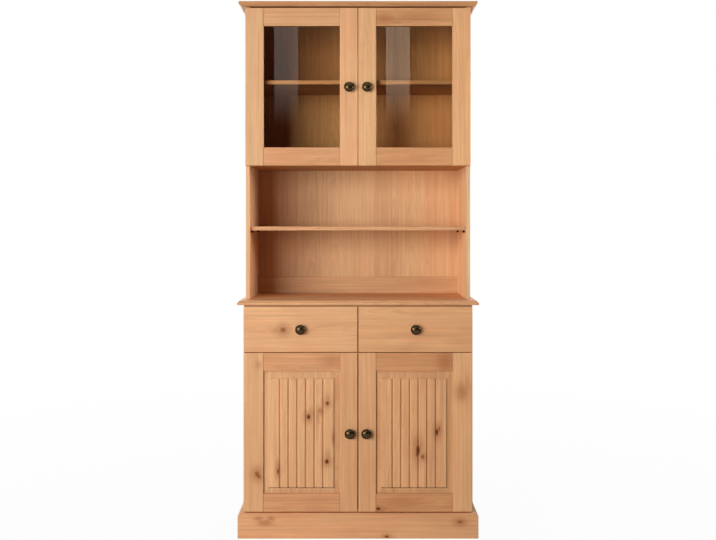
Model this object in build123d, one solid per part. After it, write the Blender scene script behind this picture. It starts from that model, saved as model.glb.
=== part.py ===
from build123d import *
import math
import os

# Two-part pine cabinet: a base with two doors and two drawers under a worktop,
# and a set-back hutch with an open niche and two glazed doors.
# Millimetres. +Z is up, the front faces -Y, and the origin is on the floor at
# the centre of the bounding box.

# ---------------------------------------------------------------- carcass
carcass_width = 848.0
base_depth = 357.0
hutch_setback = 53.5
board = 15.0
worktop_thickness = 16.5
top_board_thickness = 18.0
edge_bevel = 9.0
worktop_overhang = 23.5
top_board_overhang = 25.0
plinth_overhang = 21.0
front_proud = 3.0            # boards that frame the fronts stand this far ahead of them
arris = 1.5                  # rounding of exposed board edges

# ---------------------------------------------------------------- heights
plinth_height = 92.0
plinth_gap = 6.0
base_door_height = 588.0
front_gap = 2.4
drawer_front_height = 169.1
worktop_gap = 5.0
niche_height = 503.0
hutch_door_height = 593.0
cornice_gap = 7.0
door_overlap = 7.0           # how far the base doors cover the bottom panel
niche_shelf_height = 259.0   # clear height between worktop and niche shelf
display_shelf_height = 296.0  # clear height between hutch deck and display shelf
cupboard_shelf_height = 280.0
shelf_front_setback = 15.0
shelf_back_gap = 2.0
shelf_end_gap = 1.0

# ---------------------------------------------------------------- backs and rails
base_back_thickness = 4.0
hutch_back_thickness = 7.0
rebate_width = 8.0
back_rail_height = 68.0
top_rail_width = 60.0

# ---------------------------------------------------------------- doors and fronts
door_thickness = 18.0
door_gap = 2.3               # between the backs of doors and fronts and the carcass
side_reveal = 0.5
base_centre_gap = 3.5
hutch_centre_gap = 2.5
base_stile_outer = 73.5
base_stile_inner = 65.0
hutch_stile_outer = 69.0
hutch_stile_inner = 67.0
rail_width = 68.0
front_arris = 2.5
joint_bevel = 1.2
joint_play = 0.1
tenon_thickness = 8.0
tenon_length = 20.0
tenon_shoulder = 12.0
groove_depth = 10.0
groove_recess = 6.5          # from the front of the door to the panel groove

# raised panel of the base doors
panel_tongue = 8.0
panel_foot_recess = 8.0
panel_shoulder_recess = 5.6
panel_field_recess = 1.0
panel_shoulder = 3.6
field_margin_side = 24.0
field_margin_bottom = 23.0
field_margin_top = 30.0
groove_count = 6
groove_pitch = 32.0
v_groove_width = 10.0
v_groove_depth = 5.0

# glazing of the hutch doors
glass_thickness = 4.0
glass_recess = 8.0
glass_play = 1.0
rabbet_width = 9.0
bead_width = 8.5

# ---------------------------------------------------------------- drawers
drawer_side_thickness = 13.0
drawer_side_gap = 1.5
drawer_side_height = 135.0
drawer_floor_gap = 5.0       # between the deck and the drawer sides
drawer_rear_gap = 33.3       # between the closed drawers and the back panel
drawer_bottom_thickness = 4.0
drawer_bottom_rise = 8.0
drawer_groove_depth = 5.0
runner_height = 16.0
runner_thickness = 8.0
runner_start = 8.0
runner_rear_gap = 25.0
runner_seat = 0.2            # running clearance above a runner
runner_play = 0.5            # running clearance below and beside a runner

# ---------------------------------------------------------------- knobs
knob_radius = 18.5
knob_projection = 26.0
knob_foot_radius = 8.5
knob_neck_radius = 5.5
knob_screw_radius = 2.0
knob_screw_depth = 14.0
knob_head_radius = 4.5
knob_head_height = 1.9
base_knob_inset = 30.5       # knob centre from the middle of the cabinet
hutch_knob_inset = 33.5
door_knob_drop = 2.8         # knob centre below the middle of a door

# ---------------------------------------------------------------- hinges
hinge_inset = 85.0           # hinge centre from the end of a door
pivot_edge = 6.7             # pivot from the outer edge of a door
pivot_depth = 10.5           # pivot from the back of a door
cup_radius = 17.5
cup_edge = 3.0
cup_wall = 0.8
cup_floor_gap = 2.55         # pivot to the inside of the cup floor
cup_play = 0.1
flange_thickness = 1.0
flange_half_length = 28.0
flange_width = 18.0
flange_screw_offset = 23.5
pin_radius = 1.25
pin_clearance = 0.05
boss_start = 4.2             # bosses that hold the pin, from the middle of the cup
boss_half = 2.4
eye_radius = 2.3
neck_reach = 14.2
neck_thickness = 2.4
neck_half_width = 3.0
arm_length = 58.0
arm_start = 3.0
arm_half_width = 6.0
arm_screw_first = 14.0
arm_screw_second = 42.0
screw_radius = 1.75
screw_head_radius = 3.4
screw_head_height = 1.7
small_screw_length = 12.0

# ---------------------------------------------------------------- shelf pins, dowels, plates
pin_hole_radius = 2.5
pin_hole_depth = 10.0
pin_hole_play = 0.05
pin_head_radius = 4.2
pin_head_length = 8.0
pin_front = 45.0             # front pins from the front of the carcass
pin_rear = 53.0              # rear pins from its back
pin_seat = 0.1
dowel_radius = 4.0
dowel_length = 28.0
dowel_depth = 11.0           # in the worktop
dowel_inset = 50.0
dowel_play = 0.1
plate_width = 40.0
plate_height = 60.0
plate_thickness = 2.0
plate_position = 260.0
plate_edge = 6.0
plate_drop = 12.0            # how far the plates reach below the worktop's top
plate_screw_pitch = 22.0

# ---------------------------------------------------------------- derived planes
half_width = carcass_width / 2
inner_half = half_width - board
front_reach = door_gap + door_thickness + knob_projection
front_y = (front_reach - base_depth) / 2
back_y = front_y + base_depth
hutch_y = front_y + hutch_setback
boards_front = door_gap + door_thickness + front_proud

base_door_bottom = plinth_height + plinth_gap
base_door_top = base_door_bottom + base_door_height
drawer_bottom = base_door_top + front_gap
drawer_top = drawer_bottom + drawer_front_height
worktop_bottom = drawer_top + worktop_gap
worktop_top = worktop_bottom + worktop_thickness
deck_bottom = worktop_top + niche_height
deck_top = deck_bottom + board
hutch_door_top = deck_bottom + hutch_door_height
top_board_bottom = hutch_door_top + cornice_gap
total_height = top_board_bottom + top_board_thickness
bottom_top = base_door_bottom + door_overlap
divider_mid = (base_door_top + drawer_bottom) / 2
drawer_deck_top = divider_mid + board / 2
drawer_deck_bottom = divider_mid - board / 2
top_rail_bottom = worktop_bottom - board
back_rail_top = worktop_top + back_rail_height
hutch_back_y = back_y - hutch_back_thickness
base_back_y = back_y - base_back_thickness

niche_shelf_z = worktop_top + niche_shelf_height
display_shelf_z = deck_top + display_shelf_height
cupboard_shelf_z = bottom_top + cupboard_shelf_height

parts = {}


# ---------------------------------------------------------------- helpers
def block(x0, x1, y0, y1, z0, z1):
    """A box between two corners."""
    size = (x1 - x0, y1 - y0, z1 - z0)
    return Pos((x0 + x1) / 2, (y0 + y1) / 2, (z0 + z1) / 2) * Box(*size)


def rod_x(radius, x0, x1, y, z):
    """A cylinder along X."""
    length = abs(x1 - x0)
    return Pos((x0 + x1) / 2, y, z) * Rot(0, 90, 0) * Cylinder(radius, length)


def rod_y(radius, y0, y1, x, z):
    """A cylinder along Y."""
    length = abs(y1 - y0)
    return Pos(x, (y0 + y1) / 2, z) * Rot(90, 0, 0) * Cylinder(radius, length)


def rod_z(radius, z0, z1, x, y):
    """A cylinder along Z."""
    length = abs(z1 - z0)
    return Pos(x, y, (z0 + z1) / 2) * Cylinder(radius, length)


def mirrored(shape):
    """The same piece on the other side of the cabinet."""
    return mirror(shape, about=Plane.YZ)


def edges_at(shape, axis, value):
    """Edges that lie wholly in the plane where axis has this value."""
    tolerance = 1e-4
    return shape.edges().filter_by_position(axis, value - tolerance, value + tolerance)


def rounded_front(shape, y, radius):
    """Rounds the edges of a piece that lie in its front plane."""
    return fillet(edges_at(shape, Axis.Y, y), radius)


def countersunk_y(x, y_head, z, length, grow=0.0):
    """A countersunk screw that enters along -Y from its head plane."""
    cone_height = screw_head_height
    cone = Cone(screw_radius + grow, screw_head_radius + grow, cone_height)
    head = Pos(x, y_head - cone_height / 2, z) * Rot(-90, 0, 0) * cone
    shank = rod_y(screw_radius + grow, y_head - length, y_head - cone_height / 2, x, z)
    return head + shank


def countersunk_x(x_head, y, z, length, grow=0.0):
    """A countersunk screw that enters along +X from its head plane."""
    cone_height = screw_head_height
    cone = Cone(screw_radius + grow, screw_head_radius + grow, cone_height)
    head = Pos(x_head + cone_height / 2, y, z) * Rot(0, -90, 0) * cone
    shank = rod_x(screw_radius + grow, x_head + cone_height / 2, x_head + length, y, z)
    return head + shank


def group(shapes):
    """Separate solids in one node."""
    solids = []
    for shape in shapes:
        solids.extend(shape.solids())
    return Compound(children=solids)


# ---------------------------------------------------------------- places that repeat
base_hinge_heights = (base_door_bottom + hinge_inset, base_door_top - hinge_inset)
hutch_hinge_heights = (deck_bottom + hinge_inset, hutch_door_top - hinge_inset)

shelf_levels = (
    (front_y, cupboard_shelf_z),
    (hutch_y, niche_shelf_z),
    (hutch_y, display_shelf_z),
)


def shelf_pin_places():
    """(y, z) of each shelf pin on one side of the cabinet."""
    places = []
    for plane, shelf_z in shelf_levels:
        pin_z = shelf_z - pin_seat - pin_head_radius
        places.append((plane + pin_front, pin_z))
        places.append((back_y - pin_rear, pin_z))
    return places


def hinge_places():
    """(front plane, z) of each hinge on one side of the cabinet."""
    places = [(front_y, z) for z in base_hinge_heights]
    places += [(hutch_y, z) for z in hutch_hinge_heights]
    return places


dowel_places = [
    (side * (half_width - board / 2), y)
    for side in (-1, 1)
    for y in (hutch_y + dowel_inset, back_y - dowel_inset)
]


# ---------------------------------------------------------------- hinges, right side
pivot_x = half_width - side_reveal - pivot_edge
cup_x = half_width - side_reveal - cup_edge - cup_radius
arm_inner_x = pivot_x - neck_reach - neck_thickness / 2


def pivot_y(plane):
    return plane - door_gap - pivot_depth


def hinge_arm(plane, z):
    """Arm on the cabinet side, with the neck that carries the pivot eye."""
    y = pivot_y(plane)
    half_neck = neck_thickness / 2
    bar = block(arm_inner_x, inner_half, plane + arm_start, plane + arm_length,
                z - arm_half_width, z + arm_half_width)
    leg = block(arm_inner_x, arm_inner_x + neck_thickness, y - half_neck,
                plane + arm_start + neck_thickness, z - neck_half_width, z + neck_half_width)
    reach = block(arm_inner_x, pivot_x, y - half_neck, y + half_neck,
                  z - neck_half_width, z + neck_half_width)
    eye = rod_z(eye_radius, z - neck_half_width, z + neck_half_width, pivot_x, y)
    bore = rod_z(pin_radius + pin_clearance, z - arm_half_width, z + arm_half_width, pivot_x, y)
    arm = bar + leg + reach + eye - bore
    for screw in arm_screws(plane, z, joint_play):
        arm -= screw
    return arm


def arm_screws(plane, z, grow=0.0):
    """The two screws that fix an arm to the cabinet side."""
    length = inner_half - arm_inner_x + small_screw_length
    offsets = (arm_screw_first, arm_screw_second)
    return [countersunk_x(arm_inner_x, plane + dy, z, length, grow) for dy in offsets]


def cup_recess(plane, z):
    """What is bored out of the stile for a cup and its screws."""
    back = plane - door_gap
    floor = pivot_y(plane) - cup_floor_gap - cup_wall - cup_play
    recess = rod_y(cup_radius + cup_play, floor, back, cup_x, z)
    for screw in cup_screws(plane, z):
        recess += screw
    return recess


def cup_screws(plane, z, grow=0.0):
    head = plane - door_gap + flange_thickness
    x = cup_x - flange_width / 2
    length = small_screw_length + flange_thickness
    offsets = (-flange_screw_offset, flange_screw_offset)
    return [countersunk_y(x, head, z + dz, length, grow) for dz in offsets]


def hinge_cup(plane, z):
    """Cup with its flange, and the pivot pin across it."""
    back = plane - door_gap
    floor = pivot_y(plane) - cup_floor_gap - cup_wall
    shell = rod_y(cup_radius, floor, back, cup_x, z)
    ears = block(cup_x - flange_width, cup_x, back, back + flange_thickness,
                 z - flange_half_length, z + flange_half_length)
    ears = fillet(ears.edges().filter_by(Axis.Y), flange_width / 4)
    rim = rod_y(cup_radius, back, back + flange_thickness, cup_x, z)
    hollow = rod_y(cup_radius - cup_wall, floor + cup_wall, back + flange_thickness, cup_x, z)
    cup = shell + ears + rim - hollow
    y = pivot_y(plane)
    bosses = block(pivot_x - boss_half, pivot_x + cup_radius, floor, y + boss_half,
                   z - cup_radius, z + cup_radius)
    bosses -= block(pivot_x - boss_half, pivot_x + cup_radius, floor, y + boss_half,
                    z - boss_start, z + boss_start)
    cup += bosses & shell
    reach = math.sqrt(cup_radius ** 2 - (pivot_x + pin_radius - cup_x) ** 2) - joint_play
    pin = rod_z(pin_radius, z - reach, z + reach, pivot_x, y)
    cup -= pin
    for screw in cup_screws(plane, z):
        cup -= screw
    return [cup, pin]


# ---------------------------------------------------------------- base carcass
def side_panel(plane, z0, z1, back_thickness, back_z0):
    """A cabinet side for the right, with the rebate, pin holes and pilot holes."""
    panel = block(inner_half, half_width, plane, back_y, z0, z1)
    panel = fillet(edges_at(panel, Axis.Y, plane).filter_by(Axis.Z), arris)
    panel -= block(inner_half, inner_half + rebate_width, back_y - back_thickness, back_y,
                   back_z0, z1)
    hole = pin_hole_radius + pin_hole_play
    for y, z in shelf_pin_places():
        if z0 < z < z1:
            panel -= rod_x(hole, inner_half, inner_half + pin_hole_depth, y, z)
    for hinge_plane, z in hinge_places():
        if z0 < z < z1:
            for screw in arm_screws(hinge_plane, z):
                panel -= screw
    return panel


bottom_underside = bottom_top - board
base_side = side_panel(front_y, 0.0, worktop_bottom, base_back_thickness, bottom_underside)
parts["base_side_right"] = base_side
parts["base_side_left"] = mirrored(base_side)

parts["base_bottom"] = block(-inner_half, inner_half, front_y, base_back_y,
                             bottom_underside, bottom_top)
parts["drawer_deck"] = block(-inner_half, inner_half, front_y, base_back_y,
                             drawer_deck_bottom, drawer_deck_top)
parts["drawer_divider"] = block(-board / 2, board / 2, front_y, base_back_y,
                                drawer_deck_top, top_rail_bottom)
front_rail = block(-inner_half, inner_half, front_y, front_y + top_rail_width,
                   top_rail_bottom, worktop_bottom)
rear_rail = block(-inner_half, inner_half, base_back_y - top_rail_width, base_back_y,
                  top_rail_bottom, worktop_bottom)
parts["worktop_rails"] = group([front_rail, rear_rail])

back_half = inner_half + rebate_width
parts["base_back"] = block(-back_half, back_half, base_back_y, back_y,
                           bottom_underside, worktop_bottom)


def shelf(plane, rear_y, z):
    """A loose shelf between the sides, with a rounded front edge."""
    half = inner_half - shelf_end_gap
    front = plane + shelf_front_setback
    board_shape = block(-half, half, front, rear_y - shelf_back_gap, z, z + board)
    return fillet(edges_at(board_shape, Axis.Y, front).filter_by(Axis.X), arris)


parts["cupboard_shelf"] = shelf(front_y, base_back_y, cupboard_shelf_z)


# ---------------------------------------------------------------- plinth
def bevelled_ring(half_x, y0, z0, z1, top):
    """A board whose front and side edges carry the bevel, on top or below."""
    shape = block(-half_x, half_x, y0, back_y, z0, z1)
    plane_z = z1 if top else z0
    shape = chamfer(open_edges(edges_at(shape, Axis.Z, plane_z)), edge_bevel)
    return fillet(open_edges(shape.edges()), arris)


def open_edges(edges):
    """The edges that don't lie in the cabinet's back plane."""
    return [edge for edge in edges if edge.center().Y < back_y - arris]


plinth_half = half_width + plinth_overhang
plinth_front_y = front_y - boards_front
plinth_block = bevelled_ring(plinth_half, plinth_front_y, 0.0, plinth_height, True)
plinth_ring = plinth_block - block(-half_width, half_width, front_y, back_y, 0.0, plinth_height)


def mitre_wedge():
    """The space in front of the two mitre planes of the plinth."""
    with BuildSketch(Plane.XY) as sketch:
        with BuildLine():
            Polyline(
                (-plinth_half, plinth_front_y),
                (plinth_half, plinth_front_y),
                (half_width, front_y),
                (-half_width, front_y),
                close=True,
            )
        make_face()
    return extrude(sketch.sketch, plinth_height)


plinth_front = plinth_ring & mitre_wedge()
plinth_sides = plinth_ring - mitre_wedge()
parts["plinth_front"] = plinth_front
parts["plinth_sides"] = group([plinth_sides])

# ---------------------------------------------------------------- worktop
worktop_half = half_width + worktop_overhang
worktop = bevelled_ring(worktop_half, front_y - boards_front, worktop_bottom, worktop_top, True)
dowel_hole = dowel_radius + dowel_play / 2
for x, y in dowel_places:
    worktop -= rod_z(dowel_hole, worktop_top - dowel_depth - dowel_play, worktop_top, x, y)

# ---------------------------------------------------------------- hutch carcass
hutch_side = side_panel(hutch_y, worktop_top, top_board_bottom, hutch_back_thickness,
                        back_rail_top)
for x, y in dowel_places[2:]:
    depth = dowel_length - dowel_depth + dowel_play
    hutch_side -= rod_z(dowel_hole, worktop_top, worktop_top + depth, x, y)
parts["hutch_side_right"] = hutch_side
parts["hutch_side_left"] = mirrored(hutch_side)

parts["hutch_deck"] = block(-inner_half, inner_half, hutch_y, hutch_back_y,
                            deck_bottom, deck_top)
parts["niche_shelf"] = shelf(hutch_y, hutch_back_y, niche_shelf_z)
parts["display_shelf"] = shelf(hutch_y, hutch_back_y, display_shelf_z)
parts["hutch_back"] = block(-back_half, back_half, hutch_back_y, back_y,
                            back_rail_top, top_board_bottom)
back_rail = block(-inner_half, inner_half, back_y - board, back_y, worktop_top, back_rail_top)

top_half = half_width + top_board_overhang
parts["top_board"] = bevelled_ring(top_half, hutch_y - boards_front,
                                   top_board_bottom, total_height, False)

# ---------------------------------------------------------------- fittings of the carcass
pins = []
for y, z in shelf_pin_places():
    shank = rod_x(pin_hole_radius, inner_half - pin_head_length / 2,
                  inner_half + pin_hole_depth - pin_seat, y, z)
    head = rod_x(pin_head_radius, inner_half - pin_head_length, inner_half, y, z)
    pin = head + shank
    pins += [pin, mirrored(pin)]
parts["shelf_pins"] = group(pins)

dowels = []
for x, y in dowel_places:
    low = worktop_top - dowel_depth
    dowels.append(rod_z(dowel_radius, low, low + dowel_length, x, y))
parts["hutch_dowels"] = group(dowels)

arms = []
arm_screw_set = []
for plane, z in hinge_places():
    arm = hinge_arm(plane, z)
    arms += [arm, mirrored(arm)]
    for screw in arm_screws(plane, z):
        arm_screw_set += [screw, mirrored(screw)]
parts["hinge_arms"] = group(arms)

plate_low = worktop_top - plate_drop
plates = []
plate_screws = []
for side in (-1, 1):
    centre = side * plate_position
    plate = block(centre - plate_width / 2, centre + plate_width / 2,
                  back_y - plate_thickness, back_y, plate_low, plate_low + plate_height)
    worktop -= plate
    back_rail -= plate
    for row in range(3):
        z = plate_low + plate_edge + row * plate_screw_pitch
        screw = countersunk_y(centre, back_y, z, small_screw_length)
        plate -= screw
        worktop -= screw
        back_rail -= screw
        plate_screws.append(screw)
    plates.append(plate)
parts["joining_plates"] = group(plates)
parts["carcass_screws"] = group(arm_screw_set + plate_screws)
parts["worktop"] = worktop
parts["hutch_back_rail"] = back_rail


# ---------------------------------------------------------------- knobs
def knob_set(face_y, back, x, z):
    """A turned knob on a front, and the screw that holds it from behind."""
    reach = knob_projection
    rim = knob_radius
    with BuildSketch(Plane.XY) as sketch:
        with BuildLine():
            foot = Line((0, 0), (knob_foot_radius, 0))
            flange = Line(foot @ 1, (knob_foot_radius, 0.05 * reach))
            cove = Bezier(flange @ 1, (knob_neck_radius, 0.1 * reach),
                          (knob_neck_radius, 0.2 * reach), (knob_neck_radius, 0.34 * reach))
            flare = Bezier(cove @ 1, (knob_neck_radius, 0.5 * reach),
                           (0.8 * rim, 0.46 * reach), (0.95 * rim, 0.55 * reach))
            lip = ThreePointArc(flare @ 1, (rim, 0.63 * reach), (0.95 * rim, 0.71 * reach))
            crown = Bezier(lip @ 1, (0.8 * rim, 0.88 * reach), (0.45 * rim, reach), (0, reach))
            Line(crown @ 1, (0, 0))
        make_face()
    turned = revolve(sketch.sketch, Axis.Y)
    knob = Pos(x, face_y, z) * Rot(180, 0, 0) * turned
    tip = face_y - knob_screw_depth
    screw = rod_y(knob_screw_radius, tip, back + knob_head_height / 2, x, z)
    screw += rod_y(knob_head_radius, back, back + knob_head_height, x, z)
    return [knob - screw, screw]


def knob_hole(plane, x, z):
    front = plane - door_gap - door_thickness
    return rod_y(knob_screw_radius + joint_play, front, plane - door_gap, x, z)


# ---------------------------------------------------------------- door frames, right side
def door_frame(plane, z0, z1, centre_gap, stile_outer, stile_inner, knob_place, hinge_heights):
    """Stiles and rails of a right-hand door, and its opening (x0, x1, z0, z1)."""
    front = plane - door_gap - door_thickness
    back = plane - door_gap
    outer = half_width - side_reveal
    inner = centre_gap / 2
    open_x0 = inner + stile_inner
    open_x1 = outer - stile_outer
    open_z0 = z0 + rail_width
    open_z1 = z1 - rail_width
    groove_y = front + groove_recess
    tenon_y0 = groove_y + joint_play
    tenon_y1 = groove_y + tenon_thickness - joint_play

    def stile(x0, x1, outside):
        piece = block(x0, x1, front, back, z0, z1)
        rim = edges_at(piece, Axis.Y, front)
        long_edge = rim.filter_by(Axis.Z).sort_by(Axis.X)[-1 if outside > x0 else 0]
        inner_edge = rim.filter_by(Axis.Z).sort_by(Axis.X)[0 if outside > x0 else -1]
        piece = fillet([long_edge] + list(rim.filter_by(Axis.X)), front_arris)
        inner_x = x0 if outside > x0 else x1
        near = piece.edges().filter_by(Axis.Z)
        near = near.filter_by_position(Axis.X, inner_x - joint_play, inner_x + joint_play)
        near = near.filter_by_position(Axis.Y, front - joint_play, front + joint_play)
        return chamfer(near, joint_bevel)

    def rail(low, high):
        piece = block(open_x0, open_x1, front, back, low, high)
        outer_z = low if low == z0 else high
        rim = edges_at(piece, Axis.Y, front).filter_by(Axis.X)
        rim = rim.filter_by_position(Axis.Z, outer_z - joint_play, outer_z + joint_play)
        piece = fillet(rim, front_arris)
        tenon_z = (low + tenon_shoulder, high - tenon_shoulder)
        return piece + block(open_x0 - tenon_length, open_x1 + tenon_length,
                             tenon_y0, tenon_y1, *tenon_z)

    def mortises(piece):
        deep = tenon_length + joint_play
        for low in (z0, z1 - rail_width):
            slot_low = low + tenon_shoulder - joint_play
            slot_high = low + rail_width - tenon_shoulder + joint_play
            piece -= block(open_x0 - deep, open_x1 + deep, groove_y,
                           groove_y + tenon_thickness, slot_low, slot_high)
        return piece

    outer_stile = mortises(stile(open_x1, outer, outer))
    inner_stile = mortises(stile(inner, open_x0, inner))
    for z in hinge_heights:
        outer_stile -= cup_recess(plane, z)
    inner_stile -= knob_hole(plane, *knob_place)
    rails = [rail(z0, open_z0), rail(open_z1, z1)]
    return outer_stile, inner_stile, rails, (open_x0, open_x1, open_z0, open_z1)


def store_door(name, pieces):
    """Stores a right-hand door's pieces and their mirror images for the left."""
    for piece_name, shapes in pieces.items():
        left = [mirrored(shape) for shape in shapes]
        if len(shapes) == 1:
            parts[f"{name}_right_{piece_name}"] = shapes[0]
            parts[f"{name}_left_{piece_name}"] = left[0]
        else:
            parts[f"{name}_right_{piece_name}"] = group(shapes)
            parts[f"{name}_left_{piece_name}"] = group(left)


def hinge_cup_set(plane, heights):
    shapes = []
    for z in heights:
        shapes += hinge_cup(plane, z)
        shapes += cup_screws(plane, z)
    return shapes


# ---------------------------------------------------------------- base doors
def raised_panel(front, opening):
    """Floating panel with a raised, V-grooved field. It sits low in its groove."""
    x0, x1, z0, z1 = opening
    tongue_front = front + panel_foot_recess
    tongue_back = front + groove_recess + tenon_thickness - joint_play
    slack = groove_depth - panel_tongue
    plate = block(x0 - panel_tongue, x1 + panel_tongue, tongue_front, tongue_back,
                  z0 - groove_depth + joint_play, z1 + panel_tongue - slack)

    def outline(recess, grow):
        """Rectangle around the field, at this recess behind the door front."""
        a = x0 + field_margin_side - grow[0]
        b = x1 - field_margin_side + grow[0]
        c = z0 + field_margin_bottom - grow[1]
        d = z1 - field_margin_top + grow[2]
        y = front + recess
        corners = [(a, y, c), (b, y, c), (b, y, d), (a, y, d)]
        return make_face(Polyline(*corners, close=True))

    foot = outline(panel_foot_recess, (field_margin_side, field_margin_bottom, field_margin_top))
    shoulder_grow = (panel_shoulder, panel_shoulder, panel_shoulder)
    shoulder = outline(panel_shoulder_recess, shoulder_grow)
    field = outline(panel_field_recess, (0, 0, 0))
    panel = plate + loft([foot, shoulder], ruled=True) + loft([shoulder, field], ruled=True)

    middle = (x0 + x1) / 2
    face = front + panel_field_recess
    low = z0 + field_margin_bottom - panel_shoulder
    high = z1 - field_margin_top + panel_shoulder
    half = v_groove_width / 2
    for index in range(groove_count):
        x = middle + (index - (groove_count - 1) / 2) * groove_pitch
        points = [(x - half, face), (x + half, face), (x, face + v_groove_depth)]
        section = make_face(Polyline(*points, close=True))
        panel -= Pos(0, 0, low) * extrude(section, high - low, dir=(0, 0, 1))
    return panel


def grooved(piece, plane, opening):
    """Cuts the panel groove that runs round the opening."""
    x0, x1, z0, z1 = opening
    y0 = plane - door_gap - door_thickness + groove_recess
    return piece - block(x0 - groove_depth, x1 + groove_depth, y0, y0 + tenon_thickness,
                         z0 - groove_depth, z1 + groove_depth)


base_knob_z = (base_door_bottom + base_door_top) / 2 - door_knob_drop
base_frame = door_frame(front_y, base_door_bottom, base_door_top, base_centre_gap,
                        base_stile_outer, base_stile_inner,
                        (base_knob_inset, base_knob_z), base_hinge_heights)
base_outer, base_inner, base_rails, base_opening = base_frame
base_front = front_y - door_gap - door_thickness
store_door("base_door", {
    "stile_outer": [grooved(base_outer, front_y, base_opening)],
    "stile_inner": [grooved(base_inner, front_y, base_opening)],
    "rails": [grooved(rail, front_y, base_opening) for rail in base_rails],
    "panel": [raised_panel(base_front, base_opening)],
    "knob": knob_set(base_front, front_y - door_gap, base_knob_inset, base_knob_z),
    "hinge_cups": hinge_cup_set(front_y, base_hinge_heights),
})


# ---------------------------------------------------------------- glazed doors
def rabbeted(piece, plane, opening):
    """Cuts the rabbet for the pane and its beads, open to the back."""
    x0, x1, z0, z1 = opening
    front = plane - door_gap - door_thickness
    return piece - block(x0 - rabbet_width, x1 + rabbet_width, front + glass_recess,
                         plane - door_gap, z0 - rabbet_width, z1 + rabbet_width)


def glazing(plane, opening):
    """The pane and the four beads behind it."""
    x0, x1, z0, z1 = opening
    front = plane - door_gap - door_thickness
    back = plane - door_gap
    grow = rabbet_width - glass_play
    glass_back = front + glass_recess + glass_thickness
    pane = block(x0 - grow, x1 + grow, front + glass_recess, glass_back, z0 - grow, z1 + grow)
    edge = rabbet_width - joint_play
    near = edge - bead_width
    upright = (glass_back, back, z0 - edge, z1 + edge)
    flat = (x0 - near, x1 + near, glass_back, back)
    beads = [
        block(x0 - edge, x0 - near, *upright),
        block(x1 + near, x1 + edge, *upright),
        block(*flat, z0 - edge, z0 - near),
        block(*flat, z1 + near, z1 + edge),
    ]
    return pane, beads


hutch_knob_z = (deck_bottom + hutch_door_top) / 2 - door_knob_drop
hutch_frame = door_frame(hutch_y, deck_bottom, hutch_door_top, hutch_centre_gap,
                         hutch_stile_outer, hutch_stile_inner,
                         (hutch_knob_inset, hutch_knob_z), hutch_hinge_heights)
hutch_outer, hutch_inner, hutch_rails, hutch_opening = hutch_frame
hutch_front = hutch_y - door_gap - door_thickness
glass_pane, glass_beads = glazing(hutch_y, hutch_opening)
store_door("hutch_door", {
    "stile_outer": [rabbeted(hutch_outer, hutch_y, hutch_opening)],
    "stile_inner": [rabbeted(hutch_inner, hutch_y, hutch_opening)],
    "rails": [rabbeted(rail, hutch_y, hutch_opening) for rail in hutch_rails],
    "glass": [glass_pane],
    "glazing_beads": glass_beads,
    "knob": knob_set(hutch_front, hutch_y - door_gap, hutch_knob_inset, hutch_knob_z),
    "hinge_cups": hinge_cup_set(hutch_y, hutch_hinge_heights),
})

# ---------------------------------------------------------------- drawers, right side
box_x0 = board / 2 + drawer_side_gap
box_x1 = inner_half - drawer_side_gap
box_z0 = drawer_deck_top + drawer_floor_gap
box_z1 = box_z0 + drawer_side_height
box_y0 = front_y - door_gap
box_y1 = base_back_y - drawer_rear_gap
runner_z0 = (box_z0 + box_z1 - runner_height) / 2
runner_z1 = runner_z0 + runner_height
floor_z0 = box_z0 + drawer_bottom_rise
floor_z1 = floor_z0 + drawer_bottom_thickness
front_x0 = base_centre_gap / 2
front_x1 = half_width - side_reveal
runner_y0 = front_y + runner_start
runner_y1 = base_back_y - runner_rear_gap
runner_grip = runner_thickness - drawer_side_gap


def drawer_side(x0, x1, runner_side):
    """A drawer side with its runner groove and its groove for the bottom."""
    piece = block(x0, x1, box_y0, box_y1, box_z0, box_z1)
    depth = runner_grip + runner_play
    groove_x = (x0, x0 + depth) if runner_side < 0 else (x1 - depth, x1)
    piece -= block(*groove_x, box_y0 + runner_start, box_y1,
                   runner_z0 - runner_play, runner_z1 + runner_seat)
    slot_x = (x1 - drawer_groove_depth, x1) if runner_side < 0 else (x0, x0 + drawer_groove_depth)
    piece -= block(*slot_x, box_y0, box_y1, floor_z0 - joint_play, floor_z1 + joint_play)
    return piece


drawer_mid = (front_x0 + front_x1) / 2
drawer_knob_z = (drawer_bottom + drawer_top) / 2
drawer_front = block(front_x0, front_x1, base_front, front_y - door_gap,
                     drawer_bottom, drawer_top)
drawer_front = rounded_front(drawer_front, base_front, front_arris)
drawer_front -= knob_hole(front_y, drawer_mid, drawer_knob_z)
inner_x0 = box_x0 + drawer_side_thickness
inner_x1 = box_x1 - drawer_side_thickness
slot = drawer_groove_depth
drawer_front -= block(inner_x0 - slot, inner_x1 + slot, box_y0 - slot, box_y0,
                      floor_z0 - joint_play, floor_z1 + joint_play)
floor_grow = drawer_groove_depth - joint_play
drawer_floor = block(inner_x0 - floor_grow, inner_x1 + floor_grow, box_y0 - floor_grow, box_y1,
                     floor_z0, floor_z1)
drawer_back = block(inner_x0, inner_x1, box_y1 - drawer_side_thickness, box_y1,
                    floor_z1, box_z1)
store_door("drawer", {
    "front": [drawer_front],
    "walls": [drawer_side(box_x0, inner_x0, -1), drawer_side(inner_x1, box_x1, 1), drawer_back],
    "bottom": [drawer_floor],
    "knob": knob_set(base_front, front_y - door_gap, drawer_mid, drawer_knob_z),
})

runner_outer = block(inner_half - runner_thickness, inner_half, runner_y0, runner_y1,
                     runner_z0, runner_z1)
runner_inner = block(board / 2, board / 2 + runner_thickness, runner_y0, runner_y1,
                     runner_z0, runner_z1)
runners = [runner_outer, runner_inner, mirrored(runner_outer), mirrored(runner_inner)]
parts["drawer_runners"] = group(runners)

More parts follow.
